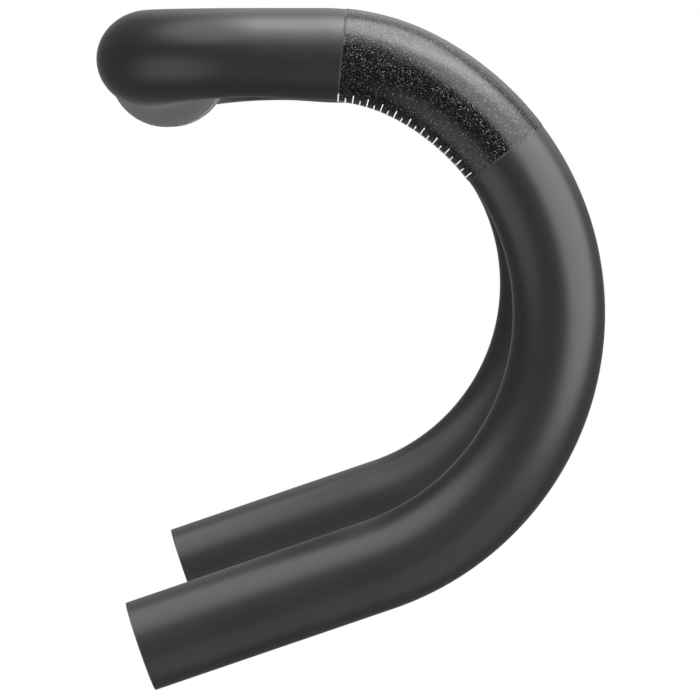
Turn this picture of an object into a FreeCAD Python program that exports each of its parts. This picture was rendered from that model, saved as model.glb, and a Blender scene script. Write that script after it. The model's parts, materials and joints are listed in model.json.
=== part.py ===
import FreeCAD, Part
import math
import os
import Sketcher

# Drop handlebar, 420 mm wide, of moulded carbon laminate.
# Origin: centre of the stem clamp. +X points forward, +Y to the rider's left, +Z up.
# The bar is held as it stands on a bicycle, so its lower ends rise towards the front.
# Every right-hand piece (y below 0) is drawn, and its left-hand twin is its mirror image.

SIZES = {
    # whole bar
    "half_width": 210.0,  # stem centre to the centreline of one drop
    "wall": 1.8,  # laminate thickness of every tube
    # stem clamp and tops
    "clamp_dia": 31.8,  # over the gritty coating
    "clamp_half": 28.0,  # half the length of the round clamp zone
    "taper_end": 108.0,  # from the centre to where the oval tops begin
    "top_depth": 27.6,  # oval tops, front to back
    "top_height": 25.5,  # oval tops, top to bottom
    "top_rise": 2.1,  # height of the tops' centreline above the clamp's
    "seam": 130.0,  # from the centre to the joint between tops and drop tube
    # corner, ramp and hook
    "corner_radius": 28.5,  # plan radius of the centreline
    "tube_dia": 23.8,
    "ramp_rise": 3.1,  # height of the bend's start above the clamp's centreline
    "ramp_height": 23.0,  # top to bottom of the ramp where it leaves the corner
    "ramp_lift": 0.4,  # how much higher the ramp's centre is there
    "bend_start": 45.6,  # forward of the centre, where the ramp begins to turn down
    "upper_radius": 51.2,  # centreline radius of the first bend
    "upper_turn": 26.8,  # degrees turned by the first bend
    "hook_radius": 68.6,  # centreline radius of the hook
    "hook_turn": 134.3,  # degrees turned by the hook
    "drop_length": 65.0,  # straight end of the drop
    # lever clamp zone, in degrees that the centreline has turned down
    "zone_start": 5.2,
    "zone_end": 53.2,
    "coat": 0.2,  # thickness of the gritty coating, here and on the stem clamp
    "doubler": 0.8,  # thickness of the laminate doubler inside the lever zone
    # printed marks
    "ink": 0.05,  # their thickness
    "lever_mark_spacing": 2.44,  # along the centreline
    "lever_mark_margin": 0.36,  # along the centreline, from the zone's start to the first mark
    "lever_mark_width": 0.36,
    "long_lever_mark": 34.0,  # degrees that a mark reaches round the tube, to each side
    "short_lever_mark": 25.0,
    "clamp_mark_spacing": 5.0,  # degrees round the clamp
    "clamp_mark_width": 1.3,  # degrees round the clamp
    "clamp_mark_start": 23.5,  # from the centre to the inner ends of the marks
    "long_clamp_mark": 3.2,
    "short_clamp_mark": 2.0,
    # inner pieces
    "clamp_sleeve": 1.2,  # thickness of the reinforcement inside the stem clamp
    "joint_half": 20.0,  # half the length of the sleeve inside each joint
    "joint_sleeve": 1.5,
    "glue": 0.15,
    "end_step": 0.1,  # how much the drop tube's wall thickens towards its open end
    "insert_length": 40.0,
    "bar_end_bore": 18.6,
}

SECTIONS = 6  # equal steps in a loft along the taper, round the corner or along the ramp
LEVER_MARKS = 21  # printed marks of one lever scale
CLAMP_MARKS = 9  # printed marks on one side of the stem scale

doc = FreeCAD.newDocument("drop_handlebar")
sizes = doc.addObject("Spreadsheet::Sheet", "sizes")
for row, (name, number) in enumerate(SIZES.items(), start=1):
    sizes.set(f"A{row}", name)
    sizes.set(f"B{row}", str(number))
    sizes.setAlias(f"B{row}", name)
doc.recompute()


def value(expression):
    """The number that an expression of the sheet's cells stands for."""
    return float(sizes.evalExpression(expression))


def deg(expression):
    return f"({expression}) * 1 deg"


def bind(thing, **expressions):
    """Bind properties of a document object to expressions of the sheet's cells."""
    for name, expression in expressions.items():
        thing.setExpression(name, expression)
    return thing


def cut(label, outer, inner):
    shell = doc.addObject("Part::Cut", label)
    shell.Base = outer
    shell.Tool = inner
    return shell


def fuse(label, pieces):
    joined = doc.addObject("Part::MultiFuse", label)
    joined.Shapes = pieces
    return joined


def mirrored(label, source):
    """The left-hand twin of a right-hand piece."""
    twin = doc.addObject("Part::Mirroring", label)
    twin.Source = source
    twin.Normal = FreeCAD.Vector(0, 1, 0)
    return twin


# ---------------------------------------------------------------- stem clamp and tops


def clamp_tube(label, outer, inner):
    """A round tube over the whole clamp zone, given by the expressions of its two radii."""
    solids = []
    for side, radius in (("outer", outer), ("inner", inner)):
        rod = doc.addObject("Part::Cylinder", f"{label}_{side}")
        bind(rod, Radius=radius, Height="sizes.clamp_half * 2")
        rod.setExpression("Placement", "placement(vector(0; sizes.clamp_half; 0); rotation(0; 0; 90))")
        solids.append(rod)
    return cut(label, *solids)


def oval(label, depth, height, x, y, z, turn="0"):
    """An ellipse that faces along the bar, turned in plan, given by expressions."""
    ellipse = doc.addObject("Part::Ellipse", label)
    bind(ellipse, MajorRadius=depth, MinorRadius=height)
    ellipse.setExpression(
        "Placement", f"placement(vector({x}; {y}; {z}); rotation({turn}; 0; 90))"
    )
    return ellipse


def oval_tube(label, start, end, outer_inset, inner_inset):
    """A straight tube along the tops between two distances from the centre.

    Its outside and inside lie that far inside the outer surface of the tops.
    """
    solids = []
    for side, inset in (("outer", outer_inset), ("inner", inner_inset)):
        section = oval(
            f"{label}_{side}_section",
            f"sizes.top_depth / 2 - ({inset})",
            f"sizes.top_height / 2 - ({inset})",
            "0",
            f"-({start})",
            "sizes.top_rise",
        )
        rod = doc.addObject("Part::Extrusion", f"{label}_{side}")
        rod.Base = section
        rod.DirMode = "Custom"
        rod.Dir = FreeCAD.Vector(0, -1, 0)
        rod.Solid = True
        bind(rod, LengthFwd=f"({end}) - ({start})")
        solids.append(rod)
    return cut(label, *solids)


def lofted_tube(label, station):
    """A tube lofted through ovals. station gives the expressions of one oval for a share
    of the way from 0 to 1, and how far it lies inside the outer surface."""
    solids = []
    for side, inset in (("outer", "0"), ("inner", "sizes.wall")):
        sections = []
        for step in range(SECTIONS + 1):
            name = f"{label}_{side}_{step}"
            sections.append(oval(name, *station(step / SECTIONS, inset)))
        loft = doc.addObject("Part::Loft", f"{label}_{side}")
        loft.Sections = sections
        loft.Solid = True
        solids.append(loft)
    return cut(label, *solids)


def blend(first, last, share):
    return f"({first}) + (({last}) - ({first})) * {share:.6f}"


def ease(way):
    """A share of the way that starts and ends level."""
    return way * way * (3 - 2 * way)


def taper_station(way, inset):
    """The taper starts round at the clamp and ends as the oval tops, level at both ends."""
    share = ease(way)
    round_radius = "sizes.clamp_dia / 2 - sizes.coat"
    return (
        blend(round_radius, "sizes.top_depth / 2", share) + f" - {inset}",
        blend(round_radius, "sizes.top_height / 2", share) + f" - {inset}",
        "0",
        f"-({blend('sizes.clamp_half', 'sizes.taper_end', way)})",
        blend("0", "sizes.top_rise", share),
    )


def corner_station(way, inset):
    """The corner turns from the tops' oval to the slightly flattened ramp."""
    turn = 90 * way
    share = math.sin(math.radians(turn)) ** 2
    return (
        blend("sizes.top_depth / 2", "sizes.tube_dia / 2", share) + f" - {inset}",
        blend("sizes.top_height / 2", "sizes.ramp_height / 2", share) + f" - {inset}",
        f"sizes.corner_radius * (1 - cos({turn} * 1 deg))",
        f"-sizes.half_width + sizes.corner_radius * (1 - sin({turn} * 1 deg))",
        blend("sizes.top_rise", "sizes.ramp_rise + sizes.ramp_lift", share),
        f"{turn}",
    )


def ramp_station(way, inset):
    """The ramp, a little wider than it is high at first, is round by the start of the bend."""
    share = ease(way)
    return (
        f"sizes.tube_dia / 2 - {inset}",
        blend("sizes.ramp_height / 2", "sizes.tube_dia / 2", share) + f" - {inset}",
        blend("sizes.corner_radius", "sizes.bend_start", way),
        "-sizes.half_width",
        blend("sizes.ramp_rise + sizes.ramp_lift", "sizes.ramp_rise", share),
        "90",
    )


def make_centre_section():
    middle = clamp_tube(
        "clamp_tube",
        "sizes.clamp_dia / 2 - sizes.coat",
        "sizes.clamp_dia / 2 - sizes.coat - sizes.wall",
    )
    taper = lofted_tube("taper", taper_station)
    top = oval_tube("oval_top", "sizes.taper_end", "sizes.seam", "0", "sizes.wall")
    right_half = fuse("right_top", [taper, top])
    return fuse("centre_section", [middle, right_half, mirrored("left_top", right_half)])


def make_clamp_coating():
    return clamp_tube(
        "stem_clamp_coating", "sizes.clamp_dia / 2", "sizes.clamp_dia / 2 - sizes.coat"
    )


def make_clamp_reinforcement():
    bore = "sizes.clamp_dia / 2 - sizes.coat - sizes.wall"
    return clamp_tube("stem_clamp_reinforcement", bore, f"{bore} - sizes.clamp_sleeve")


def make_joint(side_pieces):
    """The sleeve inside the joint and the film of glue around it."""
    span = ("sizes.seam - sizes.joint_half", "sizes.seam + sizes.joint_half")
    glue = "sizes.wall + sizes.glue"
    side_pieces["joint_adhesive"] = oval_tube("right_joint_adhesive", *span, "sizes.wall", glue)
    side_pieces["joint_sleeve"] = oval_tube(
        "right_joint_sleeve", *span, glue, f"{glue} + sizes.joint_sleeve"
    )


# ---------------------------------------------------------------- ramp, hook and drop


def origin_plane(body, role):
    for feature in body.Origin.OriginFeatures:
        if feature.Role == role:
            return feature
    raise ValueError(role)


def sketch_on(body, role, name, x, y, z, axis, turn):
    """A sketch on one of the body's origin planes, moved and turned by expressions."""
    sketch = body.newObject("Sketcher::SketchObject", name)
    sketch.AttachmentSupport = [(origin_plane(body, role), "")]
    sketch.MapMode = "FlatFace"
    sketch.AttachmentOffset = FreeCAD.Placement(FreeCAD.Vector(), FreeCAD.Rotation(axis, 1))
    for path, expression in (("Base.x", x), ("Base.y", y), ("Base.z", z), ("Rotation.Angle", turn)):
        sketch.setExpression(f"AttachmentOffset.{path}", expression)
    return sketch


def constrain(sketch, kind, expression, *where):
    """Add a dimension to the sketch and bind it to an expression."""
    size = value(expression)
    if kind == "Angle":
        size = math.radians(size)
    index = sketch.addConstraint(Sketcher.Constraint(kind, *where, size))
    sketch.setExpression(f"Constraints[{index}]", expression)


def hold_point(sketch, geometry, end, place):
    """Hold one end of an edge at a place given by two expressions."""
    for kind, expression in zip(("DistanceX", "DistanceY"), place):
        constrain(sketch, kind, expression, -1, 1, geometry, end)


def bend_centre(bend):
    """The centre of the upper bend (0) or of the hook (1) in the plane of the drop."""
    x = "sizes.bend_start"
    z = "sizes.ramp_rise - sizes.upper_radius"
    if bend:
        offset = "(sizes.upper_radius - sizes.hook_radius)"
        x = f"{x} + {offset} * sin(sizes.upper_turn * 1 deg)"
        z = f"{z} + {offset} * cos(sizes.upper_turn * 1 deg)"
    return x, z


def bend_point(bend, heading):
    """A point of the centreline where it has turned down by a heading in degrees."""
    x, z = bend_centre(bend)
    radius = ("sizes.upper_radius", "sizes.hook_radius")[bend]
    return f"{x} + {radius} * sin({deg(heading)})", f"{z} + {radius} * cos({deg(heading)})"


END_HEADING = "sizes.upper_turn + sizes.hook_turn"


def spine(body, start, end):
    """The centreline between two headings."""
    sketch = sketch_on(
        body, "XZ_Plane", f"{body.Name}_path", "0", "0", "sizes.half_width",
        FreeCAD.Vector(0, 0, 1), "0",
    )
    edges = []
    for bend, first, last in ((0, start, "sizes.upper_turn"), (1, "sizes.upper_turn", end)):
        radius = ("sizes.upper_radius", "sizes.hook_radius")[bend]
        centre = FreeCAD.Vector(*map(value, bend_centre(bend)))
        circle = Part.Circle(centre, FreeCAD.Vector(0, 0, 1), value(radius))
        angles = [math.radians(90 - value(heading)) for heading in (last, first)]
        arc = sketch.addGeometry(Part.ArcOfCircle(circle, *angles), False)
        hold_point(sketch, arc, 1, bend_point(bend, last))
        hold_point(sketch, arc, 2, bend_point(bend, first))
        constrain(sketch, "Radius", radius, arc)
        edges.append(f"Edge{len(edges) + 1}")
    return sketch, edges


def bent_tube(label, start, end, outer, inner):
    """A body swept along the hook between two headings, given by its two radii."""
    body = doc.addObject("PartDesign::Body", label)
    path, edges = spine(body, start, end)
    x, z = bend_point(0, start)
    ring = sketch_on(
        body, "YZ_Plane", f"{label}_section", "-sizes.half_width", z, x,
        FreeCAD.Vector(1, 0, 0), start,
    )
    for radius in (outer, inner):
        centre = FreeCAD.Vector()
        circle = ring.addGeometry(Part.Circle(centre, FreeCAD.Vector(0, 0, 1), value(radius)), False)
        ring.addConstraint(Sketcher.Constraint("Coincident", circle, 3, -1, 1))
        constrain(ring, "Radius", radius, circle)
    doc.recompute()
    sweep = body.newObject("PartDesign::AdditivePipe", f"{label}_sweep")
    sweep.Profile = ring
    sweep.Spine = (path, edges)
    return body


def end_ring(body, start, end, inner, outer):
    """Add a ring to the body, turned about the axis of the drop's straight end.

    start and end are distances along it, inner and outer the radii at both of them.
    """
    x, z = bend_point(1, END_HEADING)
    profile = sketch_on(
        body, "XZ_Plane", f"{body.Name}_profile", x, z, "sizes.half_width",
        FreeCAD.Vector(0, 0, 1), f"-({END_HEADING})",
    )
    corners = [(start, inner[0]), (end, inner[1]), (end, outer[1]), (start, outer[0])]
    for number, place in enumerate(corners):
        following = corners[(number + 1) % len(corners)]
        points = [FreeCAD.Vector(*map(value, corner)) for corner in (place, following)]
        line = profile.addGeometry(Part.LineSegment(*points), False)
        hold_point(profile, line, 1, place)
        hold_point(profile, line, 2, following)
    doc.recompute()
    ring = body.newObject("PartDesign::Revolution", f"{body.Name}_ring")
    ring.Profile = profile
    ring.ReferenceAxis = (profile, ["H_Axis"])
    ring.Angle = 360
    return body


def make_drop_tube(side_pieces):
    """The corner, the ramp, the hook and the straight drop, moulded in one."""
    top = oval_tube(
        "drop_tube_top", "sizes.seam", "sizes.half_width - sizes.corner_radius", "0", "sizes.wall"
    )
    corner = lofted_tube("corner", corner_station)
    ramp = lofted_tube("ramp", ramp_station)
    radius = "sizes.tube_dia / 2"
    bore = f"{radius} - sizes.wall"
    hook = bent_tube("hook", "0", END_HEADING, radius, bore)
    end_ring(
        hook, "0", "sizes.drop_length", (bore, f"{bore} - sizes.end_step"), (radius, radius)
    )
    side_pieces["drop_tube"] = fuse("right_drop_tube", [top, corner, ramp, hook])


def make_end_insert(side_pieces):
    """The insert that lines the open end, and the glue between it and the tapering bore."""
    start = "sizes.drop_length - sizes.insert_length"
    bore = "sizes.tube_dia / 2 - sizes.wall"
    slope = "sizes.end_step / sizes.drop_length"
    seat = [f"{bore} - {slope} * ({start})", f"{bore} - sizes.end_step"]
    film = [f"{radius} - sizes.glue" for radius in seat]
    mouth = ["sizes.bar_end_bore / 2"] * 2
    for name, inner, outer in (("end_adhesive", film, seat), ("end_insert", mouth, film)):
        body = doc.addObject("PartDesign::Body", f"right_{name}")
        side_pieces[name] = end_ring(body, start, "sizes.drop_length", inner, outer)


def make_lever_zone(side_pieces):
    """The doubler inside the tube and the gritty coating outside it, under the lever clamp."""
    zone = ("sizes.zone_start", "sizes.zone_end")
    outside = "sizes.tube_dia / 2"
    bore = f"{outside} - sizes.wall"
    side_pieces["lever_coating"] = bent_tube(
        "right_lever_coating", *zone, f"{outside} + sizes.coat", outside
    )
    side_pieces["lever_reinforcement"] = bent_tube(
        "right_lever_reinforcement", *zone, bore, f"{bore} - sizes.doubler"
    )


# ---------------------------------------------------------------- printed marks


def arc_band(radius, thickness, half_angle, middle, across, along):
    """A flat band of ink on a circle: its face, centred on `middle`, between two radii."""
    edges = []
    corners = []
    for reach in (radius, radius + thickness):
        ends = []
        for angle in (-half_angle, 0, half_angle):
            direction = middle * math.cos(angle) + across * math.sin(angle)
            ends.append(along + direction * reach)
        edges.append(Part.Arc(*ends).toShape())
        corners.append((ends[0], ends[2]))
    for low, high in zip(*corners):
        edges.append(Part.LineSegment(low, high).toShape())
    return Part.Face(Part.Wire(Part.__sortEdges__(edges)))


def lever_mark(travel, half_angle, width):
    """One mark across the inner side of the hook, `travel` mm along the centreline."""
    upper = value("sizes.upper_radius")
    first_turn = math.radians(value("sizes.upper_turn"))
    bend = 1 if travel > upper * first_turn else 0
    radius = value(("sizes.upper_radius", "sizes.hook_radius")[bend])
    heading = first_turn + (travel - upper * first_turn) / radius if bend else travel / radius
    heading -= width / radius / 2
    x, z = map(value, bend_centre(bend))
    centre = FreeCAD.Vector(x, -value("sizes.half_width"), z)
    outward = FreeCAD.Vector(math.sin(heading), 0, math.cos(heading))
    surface = value("sizes.tube_dia / 2 + sizes.coat")
    face = arc_band(
        surface, value("sizes.ink"), half_angle, outward * -1, FreeCAD.Vector(0, 1, 0),
        centre + outward * radius,
    )
    return face.revolve(centre, FreeCAD.Vector(0, 1, 0), math.degrees(width / radius))


def make_lever_scale(side_pieces):
    """A ruler of long and short marks by turns, evenly spaced along the centreline."""
    reach = [math.radians(value(f"sizes.{name}_lever_mark")) for name in ("long", "short")]
    spacing = value("sizes.lever_mark_spacing")
    start = value("sizes.upper_radius") * math.radians(value("sizes.zone_start"))
    start += value("sizes.lever_mark_margin")
    marks = [
        lever_mark(start + spacing * number, reach[number % 2], value("sizes.lever_mark_width"))
        for number in range(LEVER_MARKS)
    ]
    scale = doc.addObject("Part::Feature", "right_lever_scale")
    scale.Shape = Part.makeCompound(marks)
    side_pieces["lever_scale"] = scale


def make_clamp_scale():
    """Two rows of marks on the front of the clamp zone, one each side of the stem."""
    lengths = [value(f"sizes.{name}_clamp_mark") for name in ("long", "short")]
    half_width = math.radians(value("sizes.clamp_mark_width / 2"))
    marks = []
    for side in (-1, 1):
        foot = FreeCAD.Vector(0, side * value("sizes.clamp_mark_start"), 0)
        for number in range(CLAMP_MARKS):
            steps = number - CLAMP_MARKS // 2
            angle = math.radians(value("sizes.clamp_mark_spacing") * steps)
            middle = FreeCAD.Vector(math.cos(angle), 0, math.sin(angle))
            across = FreeCAD.Vector(-math.sin(angle), 0, math.cos(angle))
            face = arc_band(
                value("sizes.clamp_dia / 2"), value("sizes.ink"), half_width, middle, across, foot
            )
            marks.append(face.extrude(FreeCAD.Vector(0, side * lengths[number % 2], 0)))
    scale = doc.addObject("Part::Feature", "stem_clamp_scale")
    scale.Shape = Part.makeCompound(marks)
    return scale


# ---------------------------------------------------------------- the whole bar

parts = {
    "centre_section": make_centre_section(),
    "stem_clamp_coating": make_clamp_coating(),
    "stem_clamp_reinforcement": make_clamp_reinforcement(),
    "stem_clamp_scale": make_clamp_scale(),
}
right_pieces = {}
make_joint(right_pieces)
make_drop_tube(right_pieces)
make_end_insert(right_pieces)
make_lever_zone(right_pieces)
make_lever_scale(right_pieces)
for name, piece in right_pieces.items():
    parts[f"right_{name}"] = piece
    parts[f"left_{name}"] = mirrored(f"left_{name}", piece)
for label, part in parts.items():
    part.Label = label
doc.recompute()

for thing in doc.Objects:
    if "Invalid" in thing.State or "Error" in thing.State:
        raise RuntimeError(f"{thing.Label} failed: {thing.State}")
for label, part in parts.items():
    shape = part.Shape
    if shape.isNull() or not shape.isValid() or not shape.Solids:
        raise RuntimeError(f"{label} has no sound shape")

os.makedirs("parts", exist_ok=True)
for label, part in parts.items():
    part.Shape.exportStep(f"parts/{label}.step")
    print(f"{label}: {len(part.Shape.Solids)} solids, {part.Shape.Volume / 1000:.3f} cm3")
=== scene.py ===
import json
import math

import bpy
import numpy as np
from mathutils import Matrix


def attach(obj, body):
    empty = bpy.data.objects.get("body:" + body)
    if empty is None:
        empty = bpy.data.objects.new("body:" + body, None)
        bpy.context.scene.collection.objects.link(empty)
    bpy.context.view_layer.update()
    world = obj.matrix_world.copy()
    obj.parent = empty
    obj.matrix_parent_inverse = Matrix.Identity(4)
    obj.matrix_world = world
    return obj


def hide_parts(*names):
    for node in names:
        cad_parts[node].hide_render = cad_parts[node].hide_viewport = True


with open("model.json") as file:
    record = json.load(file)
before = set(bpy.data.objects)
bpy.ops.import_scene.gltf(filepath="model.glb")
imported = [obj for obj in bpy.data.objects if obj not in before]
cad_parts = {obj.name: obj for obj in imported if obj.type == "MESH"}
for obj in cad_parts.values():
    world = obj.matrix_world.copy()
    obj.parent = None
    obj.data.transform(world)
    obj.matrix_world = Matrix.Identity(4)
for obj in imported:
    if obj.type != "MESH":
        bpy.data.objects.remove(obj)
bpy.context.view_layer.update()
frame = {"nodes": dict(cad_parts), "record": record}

# Drop handlebar. Lengths are in mm and angles in degrees, and meshes are written in metres.
# The tubes are swept along the same lines as the CAD's, with finer detail on their surfaces.

MM = 0.001
RNG = np.random.default_rng(20)

HALF_WIDTH = 210.0
WALL = 1.8
CLAMP_RADIUS = 15.9
CLAMP_HALF = 28.0
TAPER_END = 108.0
TOP_DEPTH = 13.8
TOP_HEIGHT = 12.75
TOP_RISE = 2.1
SEAM = 130.0
CORNER_RADIUS = 28.5
TUBE_RADIUS = 11.9
RAMP_RISE = 3.1
RAMP_HEIGHT = 11.5
RAMP_LIFT = 0.4
BEND_START = 45.6
UPPER_RADIUS = 51.2
UPPER_TURN = 26.8
HOOK_RADIUS = 68.6
HOOK_TURN = 134.3
DROP_LENGTH = 65.0
ZONE_START = 5.2
ZONE_END = 53.2
COAT = 0.2
INK = 0.05
END_STEP = 0.1
INSERT_LENGTH = 40.0
BAR_END_BORE = 9.3
GLUE = 0.15
MARKS = 21
MARK_SPACING = 2.44
MARK_MARGIN = 0.36
MARK_WIDTH = 0.36
LONG_MARK = 34.0
SHORT_MARK = 25.0
CLAMP_MARKS = 9
CLAMP_MARK_SPACING = 5
CLAMP_MARK_START = 23.5
CLAMP_MARK_LENGTHS = (3.2, 2.0)

AROUND = 160

# ---------------------------------------------------------------- stations along the bar


def smooth(way):
    return way * way * (3 - 2 * way)


def mix(first, last, share):
    return first + (last - first) * share


def station(centre, across, up, depth, height, travel):
    """One cross section: its centre, its two directions, and its two radii."""
    return (np.array(centre, float), np.array(across, float), np.array(up, float), depth, height, travel)


def top_station(y):
    """A section of the tops at a signed distance from the centre."""
    away = abs(y)
    share = smooth(min(max((away - CLAMP_HALF) / (TAPER_END - CLAMP_HALF), 0), 1))
    depth = mix(CLAMP_RADIUS - COAT, TOP_DEPTH, share)
    height = mix(CLAMP_RADIUS - COAT, TOP_HEIGHT, share)
    return station((0, y, TOP_RISE * share), (1, 0, 0), (0, 0, 1), depth, height, y)


def corner_station(turn, travel):
    angle = math.radians(turn)
    share = math.sin(angle) ** 2
    centre = (
        CORNER_RADIUS * (1 - math.cos(angle)),
        -HALF_WIDTH + CORNER_RADIUS * (1 - math.sin(angle)),
        mix(TOP_RISE, RAMP_RISE + RAMP_LIFT, share),
    )
    across = (math.cos(angle), math.sin(angle), 0)
    depth = mix(TOP_DEPTH, TUBE_RADIUS, share)
    height = mix(TOP_HEIGHT, RAMP_HEIGHT, share)
    return station(centre, across, (0, 0, 1), depth, height, travel)


def bend_centres():
    upper = np.array((BEND_START, RAMP_RISE - UPPER_RADIUS))
    angle = math.radians(UPPER_TURN)
    offset = UPPER_RADIUS - HOOK_RADIUS
    return upper, upper + offset * np.array((math.sin(angle), math.cos(angle)))


def ramp_station(travel):
    """A section of the ramp, which grows round. travel runs up to 0 at its end."""
    share = smooth(1 + travel / (BEND_START - CORNER_RADIUS))
    centre = (BEND_START + travel, -HALF_WIDTH, RAMP_RISE + mix(RAMP_LIFT, 0, share))
    return station(centre, (0, 1, 0), (0, 0, 1), TUBE_RADIUS, mix(RAMP_HEIGHT, TUBE_RADIUS, share), travel)


def hook_station(travel):
    """A section of the bends or the drop, by the distance from the end of the ramp."""
    upper, hook = bend_centres()
    first = UPPER_RADIUS * math.radians(UPPER_TURN)
    last = first + HOOK_RADIUS * math.radians(HOOK_TURN)
    if travel <= first:
        heading = travel / UPPER_RADIUS
        place = upper + UPPER_RADIUS * np.array((math.sin(heading), math.cos(heading)))
    else:
        heading = math.radians(UPPER_TURN) + (min(travel, last) - first) / HOOK_RADIUS
        place = hook + HOOK_RADIUS * np.array((math.sin(heading), math.cos(heading)))
    if travel > last:
        place = place + (travel - last) * np.array((math.cos(heading), -math.sin(heading)))
    up = (math.sin(heading), 0, math.cos(heading))
    return station((place[0], -HALF_WIDTH, place[1]), (0, 1, 0), up, TUBE_RADIUS, TUBE_RADIUS, travel)


def travel_at(heading):
    """The distance from the end of the ramp to where the tube has turned down by a heading."""
    if heading <= UPPER_TURN:
        return UPPER_RADIUS * math.radians(heading)
    return UPPER_RADIUS * math.radians(UPPER_TURN) + HOOK_RADIUS * math.radians(heading - UPPER_TURN)


END_TRAVEL = travel_at(UPPER_TURN + HOOK_TURN) + DROP_LENGTH


def evenly(start, end, step):
    return np.linspace(start, end, max(2, int(round(abs(end - start) / step)) + 1))


def ring(place, inset=0.0, count=AROUND):
    """The points of one section, inset from the outer surface. inset may differ by angle."""
    centre, across, up, depth, height, _ = place
    angle = np.linspace(0, 2 * math.pi, count, endpoint=False)
    inset = np.broadcast_to(inset, (count,))
    return (
        centre
        + np.outer((depth - inset) * np.cos(angle), across)
        + np.outer((height - inset) * np.sin(angle), up)
    )


# ---------------------------------------------------------------- meshes


def make_object(name, points, faces, material):
    mesh = bpy.data.meshes.new(name)
    mesh.from_pydata((points * MM).tolist(), [], faces.tolist())
    mesh.validate()
    mesh.update()
    for one in material if isinstance(material, (list, tuple)) else (material,):
        mesh.materials.append(one)
    piece = bpy.data.objects.new(name, mesh)
    bpy.context.scene.collection.objects.link(piece)
    return piece


def grid_faces(rows, columns, loop_rows, loop_columns=True):
    """Quads that join rows of points, each row a closed ring."""
    row = np.arange(rows if loop_rows else rows - 1)
    column = np.arange(columns if loop_columns else columns - 1)
    row, column = np.meshgrid(row, column, indexing="ij")
    below = (row + 1) % rows
    beside = (column + 1) % columns
    here, lower = row * columns, below * columns
    quads = np.stack((here + column, here + beside, lower + beside, lower + column), -1)
    return quads.reshape(-1, 4)


def volume(points, faces):
    a, b, c, d = (points[faces[:, k]] for k in range(4))
    return np.einsum("ij,ij->", a, np.cross(b, c)) + np.einsum("ij,ij->", a, np.cross(c, d))


def shell(name, rings, material, sharp=35):
    """A closed tube wall from rings that run along its outside and back along its inside."""
    rings = np.array(rings)
    points = rings.reshape(-1, 3)
    faces = grid_faces(len(rings), rings.shape[1], True)
    if volume(points, faces) < 0:
        faces = faces[:, ::-1]
    piece = make_object(name, points, faces, material)
    mesh = piece.data
    mesh.polygons.foreach_set("use_smooth", np.ones(len(mesh.polygons), bool))
    mesh.set_sharp_from_angle(angle=math.radians(sharp))
    return piece


def add_attribute(piece, name, values):
    layer = piece.data.attributes.new(name, "FLOAT", "POINT")
    layer.data.foreach_set("value", np.asarray(values, np.float32))


def to_left(rings):
    """The left side's points, from the right side's."""
    return [r * np.array((1, -1, 1)) for r in rings]


# ---------------------------------------------------------------- materials

PLY = 0.2  # mm, the laminate's plies
PEEL_PLY = 0.0011  # metres, as the texture coordinates
DROP_SLOPE = 180 - UPPER_TURN - HOOK_TURN  # degrees that the drops rise towards the front


class Nodes:
    """A small helper for writing one material's node tree."""

    def __init__(self, name):
        self.material = bpy.data.materials.new(name)
        self.material.use_nodes = True
        self.tree = self.material.node_tree
        self.shader = self.tree.nodes["Principled BSDF"]
        self.object = self.add("ShaderNodeTexCoord").outputs["Object"]

    def add(self, kind, **values):
        node = self.tree.nodes.new(kind)
        for name, value in values.items():
            setattr(node, name, value)
        return node

    def link(self, source, socket):
        self.tree.links.new(source, socket)

    def feed(self, node, **values):
        for name, value in values.items():
            socket = node.inputs[name]
            if isinstance(value, bpy.types.NodeSocket):
                self.link(value, socket)
            else:
                socket.default_value = value
        return node

    def noise(self, scale, detail=2.0, rough=0.5, vector=None):
        node = self.add("ShaderNodeTexNoise")
        self.feed(node, Vector=vector or self.object, Scale=scale, Detail=detail, Roughness=rough)
        return node.outputs["Fac"]

    def attribute(self, name):
        return self.add("ShaderNodeAttribute", attribute_name=name).outputs["Fac"]

    def ramp(self, value, low, high, start=0.0, end=1.0):
        """Maps start..end to low..high, which are numbers, and stops there."""
        node = self.add("ShaderNodeMapRange")
        for index, item in enumerate((value, start, end, low, high)):
            if isinstance(item, bpy.types.NodeSocket):
                self.link(item, node.inputs[index])
            else:
                node.inputs[index].default_value = item
        return node.outputs[0]

    def maths(self, operation, first, second=0.0):
        node = self.add("ShaderNodeMath", operation=operation)
        for index, item in enumerate((first, second)):
            if isinstance(item, bpy.types.NodeSocket):
                self.link(item, node.inputs[index])
            else:
                node.inputs[index].default_value = item
        return node.outputs[0]

    def blend(self, share, first, last):
        """A colour between two, by a share from 0 to 1."""
        node = self.add("ShaderNodeMix", data_type="RGBA")
        self.link(share, node.inputs["Factor"])
        for name, item in (("A", first), ("B", last)):
            socket = [s for s in node.inputs if s.name == name and s.type == "RGBA"][0]
            if isinstance(item, bpy.types.NodeSocket):
                self.link(item, socket)
            else:
                socket.default_value = (*item, 1)
        return [s for s in node.outputs if s.type == "RGBA"][0]

    def bump(self, height, distance, strength=1.0, normal=None):
        node = self.add("ShaderNodeBump")
        self.feed(node, Height=height, Distance=distance, Strength=strength)
        if normal:
            self.link(normal, node.inputs["Normal"])
        return node.outputs["Normal"]

    def finish(self, colour, roughness, normal=None, **values):
        self.link(colour, self.shader.inputs["Base Color"])
        self.link(roughness, self.shader.inputs["Roughness"])
        if normal:
            self.link(normal, self.shader.inputs["Normal"])
        self.feed(self.shader, **values)
        return self.material


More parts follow.
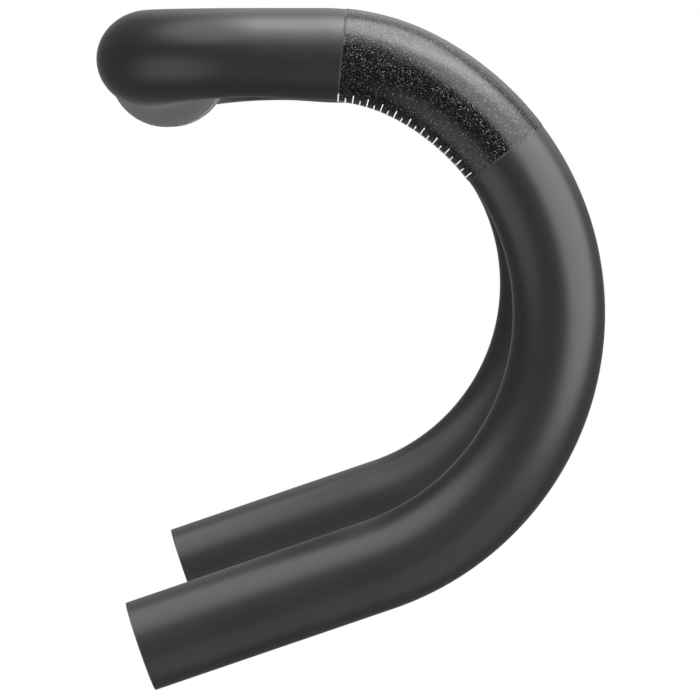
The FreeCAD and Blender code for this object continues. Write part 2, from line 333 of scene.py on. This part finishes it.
def satin_carbon():
    """A satin black clear coat, with the laminate's fibres barely showing through it."""
    n = Nodes("satin_carbon")
    cloud = n.noise(38.0, 3.0)
    grain = n.noise(2600.0, 2.0)
    shade = n.maths("ADD", n.maths("MULTIPLY", cloud, 0.7), n.maths("MULTIPLY", grain, 0.3))
    colour = n.blend(shade, (0.008, 0.008, 0.0085), (0.016, 0.016, 0.0165))
    roughness = n.ramp(n.noise(55.0, 4.0), 0.30, 0.37)
    peel = n.bump(n.noise(900.0, 2.0), 0.00002, 0.25)
    wave = n.bump(n.noise(60.0, 1.0), 0.0001, 0.12, peel)
    return n.finish(colour, roughness, wave, IOR=1.5)


def grit_coating():
    """A glossy black coating over fine grit: scattered pale grains stand up through it.

    The edge attribute is 1 at the coating's edges, which are painted a little paler: a painted highlight
    where the edges catch the light.
    """
    n = Nodes("grit_coating")
    cells = n.add("ShaderNodeTexVoronoi", feature="F1")
    n.feed(cells, Vector=n.object, Scale=5400.0)
    chance = n.add("ShaderNodeSeparateColor")
    n.link(cells.outputs["Color"], chance.inputs[0])
    dome = n.ramp(cells.outputs["Distance"], 1.0, 0.0, 0.15, 0.45)
    grain = n.maths("MULTIPLY", n.ramp(chance.outputs[0], 0.0, 1.0, 0.52, 0.58), dome)
    fine = n.noise(5200.0, 2.0)
    height = n.maths("ADD", grain, n.maths("MULTIPLY", fine, 0.12))
    normal = n.bump(height, 0.00005, 0.7)
    pale = n.maths("MULTIPLY", grain, n.maths("POWER", chance.outputs[1], 6.0))
    colour = n.blend(pale, (0.001, 0.001, 0.001), (0.75, 0.75, 0.76))
    # painted highlight: the coating's edges are painted paler, as where they catch the light
    colour = n.blend(n.attribute("lip_highlight"), colour, (0.05, 0.05, 0.051))
    roughness = n.ramp(fine, 0.07, 0.17, 0.3, 0.7)
    return n.finish(colour, roughness, normal, IOR=1.47)


def white_ink():
    n = Nodes("white_ink")
    worn = n.ramp(n.noise(3800.0, 3.0), 0.0, 1.0, 0.3, 0.46)
    colour = n.blend(worn, (0.25, 0.25, 0.25), (0.86, 0.86, 0.85))
    roughness = n.ramp(n.noise(1500.0), 0.4, 0.65)
    return n.finish(colour, roughness, n.bump(n.noise(5000.0), 0.00003, 0.5), IOR=1.48)


def cut_laminate():
    """The sawn edge of the tube, where its plies show as thin rings."""
    n = Nodes("cut_laminate")
    ply = n.attribute("depth")
    band = n.maths("SINE", n.maths("MULTIPLY", ply, 2 * math.pi / PLY))
    band = n.maths("ADD", band, n.maths("MULTIPLY", n.noise(1800.0, 2.0), 1.2))
    share = n.ramp(band, 0.0, 1.0, -0.6, 1.8)
    colour = n.blend(share, (0.012, 0.012, 0.012), (0.055, 0.054, 0.052))
    roughness = n.ramp(n.noise(3000.0, 3.0), 0.45, 0.75)
    return n.finish(colour, roughness, n.bump(band, 0.00002, 0.5), IOR=1.5)


def bare_carbon():
    """Uncoated laminate with the print of the peel ply: a fine plain weave."""
    n = Nodes("bare_carbon")
    parts = n.add("ShaderNodeSeparateXYZ")
    n.link(n.object, parts.inputs[0])
    waves = []
    for axis in ("X", "Y", "Z"):
        waves.append(n.maths("SINE", n.maths("MULTIPLY", parts.outputs[axis], 2 * math.pi / PEEL_PLY)))
    weave = n.maths("ADD", n.maths("MULTIPLY", waves[0], waves[1]), waves[2])
    share = n.ramp(weave, 0.0, 1.0, -2.0, 2.0)
    share = n.maths("ADD", n.maths("MULTIPLY", share, 0.6), n.maths("MULTIPLY", n.noise(420.0), 0.4))
    colour = n.blend(share, (0.012, 0.012, 0.012), (0.045, 0.045, 0.046))
    roughness = n.ramp(share, 0.42, 0.68)
    return n.finish(colour, roughness, n.bump(weave, 0.00005, 0.5), IOR=1.5)


def adhesive():
    n = Nodes("adhesive")
    colour = n.blend(n.noise(900.0, 3.0), (0.24, 0.19, 0.11), (0.42, 0.36, 0.24))
    roughness = n.ramp(n.noise(600.0), 0.25, 0.5)
    return n.finish(colour, roughness, n.bump(n.noise(1500.0), 0.00004, 0.4), IOR=1.52)


def glass_fibre():
    """Dull moulded glass-fibre laminate, with its strands showing."""
    n = Nodes("glass_fibre")
    stretch = n.add("ShaderNodeMapping")
    n.feed(stretch, Vector=n.object, Scale=(0.25, 1.0, 1.0), Rotation=(0, math.radians(DROP_SLOPE), 0))
    strands = n.noise(4200.0, 3.0, 0.6, stretch.outputs[0])
    colour = n.blend(strands, (0.055, 0.06, 0.052), (0.17, 0.18, 0.15))
    roughness = n.ramp(strands, 0.4, 0.62)
    return n.finish(colour, roughness, n.bump(strands, 0.00004, 0.5), IOR=1.52)


def pale_floor():
    n = Nodes("pale_floor")
    colour = n.blend(n.noise(3.0, 3.0), (0.5, 0.5, 0.5), (0.53, 0.53, 0.53))
    roughness = n.ramp(n.noise(40.0), 0.75, 0.9)
    return n.finish(colour, roughness, n.bump(n.noise(300.0), 0.0002, 0.1))


SATIN = satin_carbon()
GRIT = grit_coating()
WHITE = white_ink()
CUT = cut_laminate()
BARE = bare_carbon()
ADHESIVE = adhesive()
GLASS = glass_fibre()
BY_SLOT = {
    "matt_carbon": SATIN,
    "bare_carbon": BARE,
    "adhesive": ADHESIVE,
    "grip_coating": GRIT,
    "white_ink": WHITE,
    "glass_fibre": GLASS,
}

# ---------------------------------------------------------------- the tubes

CHAMFER = 0.25
SEAM_CHAMFER = 0.12
GUARD = 0.06  # from a chamfer to the ring beside it, which keeps the shading flat up to the edge
FACE_START = 0.02  # from the outer chamfer to the face's first ring
FACE_RINGS = 8
BORE_CHAMFER = 0.6  # share of the outer chamfer
INSIDE_EVERY = 4  # the bore has one ring for this many outside
SKIN = 0.05  # a face that reaches deeper than this shows its plies


def end_rings(place, along, chamfer, wall):
    """The rings of a cut end, from the outside of the tube to its bore.

    along points out of the end. The plies' face lies between two small chamfers.
    """
    rings, depths = [], []
    bore = chamfer * BORE_CHAMFER
    steps = [(-chamfer - GUARD, 0.0), (-chamfer, 0.0), (-chamfer * 0.3, chamfer * 0.3), (0.0, chamfer)]
    steps += [(0.0, inset) for inset in np.linspace(chamfer + FACE_START, wall - bore, FACE_RINGS)]
    steps += [(-bore, wall), (-bore - GUARD, wall)]
    for back, inset in steps:
        rings.append(ring(place, inset) + np.array(along) * back)
        depths.append(inset)
    return rings, depths


def tube(places, start_chamfer, end_chamfer, end_wall=WALL):
    """The rings along a list of stations, in the order outside, end, inside, start, and their depths."""
    first, last = places[0], places[-1]
    start_out = first[0] - places[1][0]
    end_out = last[0] - places[-2][0]
    start_out /= np.linalg.norm(start_out)
    end_out /= np.linalg.norm(end_out)
    far, far_depths = end_rings(last, end_out, end_chamfer, end_wall)
    near, near_depths = end_rings(first, start_out, start_chamfer, WALL)
    outside = [ring(place) for place in places[1:-1]]
    inside = [ring(place, WALL) for place in reversed(places[2:-2:INSIDE_EVERY])]
    rings = outside + far + inside + near[::-1]
    depths = [0.0] * len(outside) + far_depths + [WALL] * len(inside) + near_depths[::-1]
    return rings, np.repeat(depths, AROUND)


def build_tube(name, rings, depths, node):
    """A tube whose outside, cut ends and bore each have their own material."""
    piece = shell(name, rings, (SATIN, CUT, BARE))
    add_attribute(piece, "depth", depths)
    mesh = piece.data
    loops = np.zeros(len(mesh.loops), np.int32)
    mesh.loops.foreach_get("vertex_index", loops)
    per_face = np.asarray(depths)[loops].reshape(-1, 4)
    index = np.zeros(len(mesh.polygons), np.int32)
    low, high = per_face.min(1), per_face.max(1)
    index[high > SKIN] = 1
    index[low >= WALL - 0.01] = 2
    mesh.polygons.foreach_set("material_index", index)
    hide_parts(node)
    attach(piece, "root")
    return piece


centre_places = [top_station(y) for y in evenly(-SEAM, SEAM, 1.3)]
rings, depths = tube(centre_places, SEAM_CHAMFER, SEAM_CHAMFER)
build_tube("centre_tube", rings, depths, "centre_section")

drop_places = [top_station(-y) for y in evenly(SEAM, HALF_WIDTH - CORNER_RADIUS, 1.5)[:-1]]
drop_places += [corner_station(turn, 0) for turn in evenly(0, 90, 1.5)[:-1]]
drop_places += [ramp_station(t) for t in evenly(CORNER_RADIUS - BEND_START, 0, 1.5)[:-1]]
drop_places += [hook_station(t) for t in evenly(0, END_TRAVEL, 1.0)]
rings, depths = tube(drop_places, SEAM_CHAMFER, CHAMFER, WALL + END_STEP)
build_tube("right_drop", rings, depths, "right_drop_tube")
build_tube("left_drop", to_left(rings), depths, "left_drop_tube")

# ---------------------------------------------------------------- gritty coatings

GRIT_STEP = 0.27  # between points along the coating
ZONE_AROUND = 280  # points round a lever zone, and round the clamp zone
CLAMP_AROUND = 360
LIP = 0.6  # width of the soft edge
LIP_FOOT = 0.04  # share of the thickness that stands at the very edge
GRAIN_SHARE = 0.14  # of the points that are grains
GRAIN_HEIGHT = 0.06
FINE_GRIT = 0.08  # share of a grain's height that every point varies by
COAT_SHARP = 80  # degrees
INNER_RINGS = 24


def coating(name, places, thickness, count, node, left=False):
    """A thin sleeve on the tube with soft edges. Grains of grit stand up inside its thickness."""
    length = len(places)
    rings, lip_highlights = [], []
    draws = RNG.random((length, count))
    grains = np.clip(1 - draws / GRAIN_SHARE, 0, 1) + FINE_GRIT * RNG.random((length, count))
    for index, place in enumerate(places):
        rise = smooth(min(min(index, length - 1 - index) * GRIT_STEP / LIP, 1.0))
        sunk = GRAIN_HEIGHT * rise * (1 - np.minimum(grains[index], 1))
        rings.append(ring(place, -(thickness * max(rise, LIP_FOOT) - sunk), count))
        # the edges' share, which paints the coating's edges paler as a highlight
        lip_highlights.append(1 - rise)
    inside = [ring(place, 0.0, count) for place in places[:: max(1, length // INNER_RINGS)]]
    rings = rings + [ring(places[-1], 0.0, count)] + inside[::-1][1:]
    lip_highlights += [0.0] * (len(rings) - len(lip_highlights))
    if left:
        rings = to_left(rings)
    piece = shell(name, rings, GRIT, COAT_SHARP)
    # the attribute that carries the painted highlight along the coating's edges
    add_attribute(piece, "lip_highlight", np.repeat(lip_highlights, count))
    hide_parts(node)
    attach(piece, "root")
    return piece


zone_span = (travel_at(ZONE_START), travel_at(ZONE_END))
zone_places = [hook_station(t) for t in evenly(*zone_span, GRIT_STEP)]
coating("right_grit_zone", zone_places, COAT, ZONE_AROUND, "right_lever_coating")
coating("left_grit_zone", zone_places, COAT, ZONE_AROUND, "left_lever_coating", True)
clamp_places = [top_station(y) for y in evenly(-CLAMP_HALF, CLAMP_HALF, GRIT_STEP)]
coating("stem_grit_zone", clamp_places, COAT, CLAMP_AROUND, "stem_clamp_coating")

# ---------------------------------------------------------------- printed marks

MARK_POINTS = 45  # along a lever mark, and along a clamp mark
CLAMP_MARK_POINTS = 13
MARK_RAGGED = 0.07  # how far a lever mark's long edges wander
CLAMP_MARK_RAGGED = 0.04
INK_UNEVEN = 0.035  # how much thinner the ink may be
INK_ROOT = 0.1  # how far a mark reaches into the coating


def slab(grid_top, grid_low):
    """The points and faces of one thin mark, from its upper and lower grids of points."""
    rows, columns = grid_top.shape[:2]
    points = np.concatenate((grid_top.reshape(-1, 3), grid_low.reshape(-1, 3)))
    flat = grid_faces(rows, columns, False, False)
    count = rows * columns
    edge = [c for c in range(columns)]
    edge += [r * columns + columns - 1 for r in range(1, rows)]
    edge += [(rows - 1) * columns + c for c in range(columns - 2, -1, -1)]
    edge += [r * columns for r in range(rows - 2, 0, -1)]
    edge = np.array(edge)
    following = np.roll(edge, -1)
    sides = np.stack((edge, following, following + count, edge + count), -1)
    faces = np.concatenate((flat[:, ::-1], flat + count, sides))
    if volume(points, faces) < 0:
        faces = faces[:, ::-1]
    return points, faces


def marks_object(name, slabs, node):
    """All the marks of one scale, as one piece."""
    points, faces, offset = [], [], 0
    for one, quads in slabs:
        points.append(one)
        faces.append(quads + offset)
        offset += len(one)
    piece = make_object(name, np.concatenate(points), np.concatenate(faces), WHITE)
    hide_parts(node)
    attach(piece, "root")
    return piece


def ragged(size, amount):
    return (RNG.random(size) - 0.5) * amount


def lever_marks():
    """A ruler of long and short marks by turns, on the inner side of the right hook."""
    slabs = []
    for number in range(MARKS):
        middle = zone_span[0] + MARK_MARGIN + MARK_SPACING * number
        reach = math.radians(SHORT_MARK if number % 2 else LONG_MARK)
        angles = np.linspace(-reach, reach, MARK_POINTS)
        lows = ragged(MARK_POINTS, MARK_RAGGED) - MARK_WIDTH / 2
        highs = ragged(MARK_POINTS, MARK_RAGGED) + MARK_WIDTH / 2
        columns = []
        for angle, low, high in zip(angles, lows, highs):
            for share in (0.0, 0.33, 0.67, 1.0):
                place = hook_station(middle + mix(low, high, share))
                out = -place[2] * math.cos(angle) + place[1] * math.sin(angle)
                columns.append((place[0], out))
        radius = TUBE_RADIUS + COAT + INK - INK_UNEVEN * RNG.random(len(columns))
        centre = np.array([c for c, _ in columns])
        out = np.array([o for _, o in columns])
        top = (centre + out * radius[:, None]).reshape(MARK_POINTS, -1, 3)
        low = (centre + out * (TUBE_RADIUS + COAT - INK_ROOT)).reshape(MARK_POINTS, -1, 3)
        slabs.append(slab(top, low))
    return slabs


def clamp_marks():
    """Two rows of marks on the front of the clamp zone, one each side of the stem."""
    slabs = []
    size = (CLAMP_MARK_POINTS, 4)
    for side in (-1, 1):
        for number in range(CLAMP_MARKS):
            angle = math.radians(CLAMP_MARK_SPACING * (number - CLAMP_MARKS // 2))
            length = CLAMP_MARK_LENGTHS[number % 2]
            ys = side * (CLAMP_MARK_START + np.linspace(0, length, CLAMP_MARK_POINTS))
            across = np.linspace(-MARK_WIDTH / 2, MARK_WIDTH / 2, 4)
            grid = np.zeros((*size, 3))
            shift = ragged(size, CLAMP_MARK_RAGGED)
            turn = angle + (across[None, :] + shift) / CLAMP_RADIUS
            grid[..., 0], grid[..., 2] = np.cos(turn), np.sin(turn)
            top = grid * (CLAMP_RADIUS + INK - INK_UNEVEN * RNG.random((*size, 1)))
            low = grid * (CLAMP_RADIUS - INK_ROOT)
            top[..., 1] = ys[:, None]
            low[..., 1] = ys[:, None]
            slabs.append(slab(top, low))
    return slabs


scale = lever_marks()
marks_object("right_grit_marks", scale, "right_lever_scale")
flipped = [(points * np.array((1, -1, 1)), faces[:, ::-1]) for points, faces in scale]
marks_object("left_grit_marks", flipped, "left_lever_scale")
marks_object("stem_marks", clamp_marks(), "stem_clamp_scale")

# ---------------------------------------------------------------- the bar end inserts

INSERT_AROUND = 96
INSERT_STEP = 4.0
MOUTH_ROUND = 0.3  # radius of the rounded mouth


def insert_rings():
    """The insert's outside, its rounded mouth, and its bore back to its inner end."""
    slope = END_STEP / DROP_LENGTH
    start = END_TRAVEL - INSERT_LENGTH
    bore = TUBE_RADIUS - WALL
    rings = []

    def add(travel, radius):
        rings.append(ring(hook_station(travel), TUBE_RADIUS - radius, INSERT_AROUND))

    for travel in evenly(start, END_TRAVEL, INSERT_STEP):
        seat = bore - slope * (travel - (END_TRAVEL - DROP_LENGTH)) - GLUE
        add(min(travel, END_TRAVEL - 0.02), seat)
    mouth = (bore - END_STEP - GLUE + BAR_END_BORE) / 2
    add(END_TRAVEL, mouth + 0.18)
    add(END_TRAVEL, mouth + 0.05)
    for turn in evenly(0, 90, 18):
        angle = math.radians(turn)
        back = MOUTH_ROUND * (1 - math.cos(angle))
        add(END_TRAVEL - back, BAR_END_BORE + MOUTH_ROUND * (1 - math.sin(angle)))
    for travel in evenly(END_TRAVEL - 0.5, start, INSERT_STEP):
        add(travel, BAR_END_BORE)
    return rings


for name, rings in (("right", insert_rings()), ("left", to_left(insert_rings()))):
    piece = shell(f"{name}_end_sleeve", rings, GLASS)
    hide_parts(f"{name}_end_insert")
    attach(piece, "root")

# ---------------------------------------------------------------- pieces that stay as the CAD has them

slots = {entry["node"]: entry["material_slot"] for entry in frame["record"]["subparts"]}
for name, node in frame["nodes"].items():
    if not node.hide_render:
        for place in node.material_slots:
            place.material = BY_SLOT[slots[name]]

# ---------------------------------------------------------------- floor, light and camera

FLOOR_DROP = 0.5  # metres, as the rest of this part
FLOOR_RADIUS = 4.0
SURROUND = 0.17  # brightness between the lights
CAMERA_LENS = 473.8
CAMERA_PLACE = (0.0723, -2.583, -0.0127)
CAMERA_TILT_DOWN = 1.4574
CAMERA_TURN = 0.4777

# The studio's soft lights, as round patches of brightness very far away. Each has the direction
# that it comes from, as its tilt away from the rider's right and its turn from straight up
# towards the front; then the angles from its middle to where it starts to fade and to its edge,
# and its radiance.
SOFT_LIGHTS = (
    ("overhead", 81, 19, 0, 35, 6.7),
    ("key", 62, 65, 32, 50, 3.8),
    ("rear_fill", 70, -18, 22, 46, 2.3),
    ("low_rear_fill", 69, -124, 0, 41, 1.1),
    ("low_front_fill", 65, 143, 33, 38, 0.55),
    ("rim_light", 127, 20, 0, 42, 1.35),
    ("backdrop", 180, 0, 0, 30, 0.35),
)


def make_floor():
    """A round pale floor, far enough below that no shadow of it is near the bar."""
    rows, columns = 24, 96
    radius = np.linspace(0.02, 1, rows)[:, None] * FLOOR_RADIUS
    angle = np.linspace(0, 2 * math.pi, columns, endpoint=False)[None, :]
    height = np.full((rows, columns), -FLOOR_DROP)
    points = np.stack((radius * np.cos(angle), radius * np.sin(angle), height), -1)
    faces = grid_faces(rows, columns, False)[:, ::-1]
    floor = make_object("floor", points.reshape(-1, 3) / MM, faces, pale_floor())
    floor.visible_glossy = False


def make_world():
    """White behind the bar, and the soft lights in a dim surround on the bar itself."""
    world = bpy.data.worlds.new("studio")
    bpy.context.scene.world = world
    world.use_nodes = True
    tree = world.node_tree
    tree.nodes.clear()
    add = tree.nodes.new
    towards = add("ShaderNodeTexCoord").outputs["Generated"]
    total = None
    for _, tilt, turn, core, edge, radiance in SOFT_LIGHTS:
        tilt, turn = math.radians(tilt), math.radians(turn)
        near = add("ShaderNodeVectorMath")
        near.operation = "DOT_PRODUCT"
        tree.links.new(towards, near.inputs[0])
        near.inputs[1].default_value = (
            math.sin(tilt) * math.sin(turn), -math.cos(tilt), math.sin(tilt) * math.cos(turn)
        )
        fall = add("ShaderNodeMapRange")
        fall.interpolation_type = "SMOOTHSTEP"
        tree.links.new(near.outputs["Value"], fall.inputs["Value"])
        fade = (math.cos(math.radians(edge)), math.cos(math.radians(core)))
        for index, number in enumerate((*fade, 0.0, radiance), start=1):
            fall.inputs[index].default_value = number
        both = add("ShaderNodeMath")
        tree.links.new(fall.outputs[0], both.inputs[0])
        if total:
            tree.links.new(total, both.inputs[1])
        else:
            both.inputs[1].default_value = SURROUND
        total = both.outputs[0]
    seen, studio = add("ShaderNodeBackground"), add("ShaderNodeBackground")
    choice, out = add("ShaderNodeMixShader"), add("ShaderNodeOutputWorld")
    tree.links.new(total, studio.inputs["Strength"])
    tree.links.new(add("ShaderNodeLightPath").outputs["Is Camera Ray"], choice.inputs[0])
    tree.links.new(studio.outputs[0], choice.inputs[1])
    tree.links.new(seen.outputs[0], choice.inputs[2])
    tree.links.new(choice.outputs[0], out.inputs["Surface"])
    for shader in (seen, studio):
        shader.inputs["Color"].default_value = (1, 1, 1, 1)


make_floor()
make_world()

camera_data = bpy.data.cameras.new("camera")
camera_data.sensor_width = 36
camera_data.lens = CAMERA_LENS
camera_data.clip_end = 100
camera = bpy.data.objects.new("camera", camera_data)
bpy.context.scene.collection.objects.link(camera)
camera.location = CAMERA_PLACE
camera.rotation_euler = (math.radians(90 - CAMERA_TILT_DOWN), 0, math.radians(CAMERA_TURN))
bpy.context.scene.camera = camera
bpy.context.scene.view_settings.view_transform = "Standard"
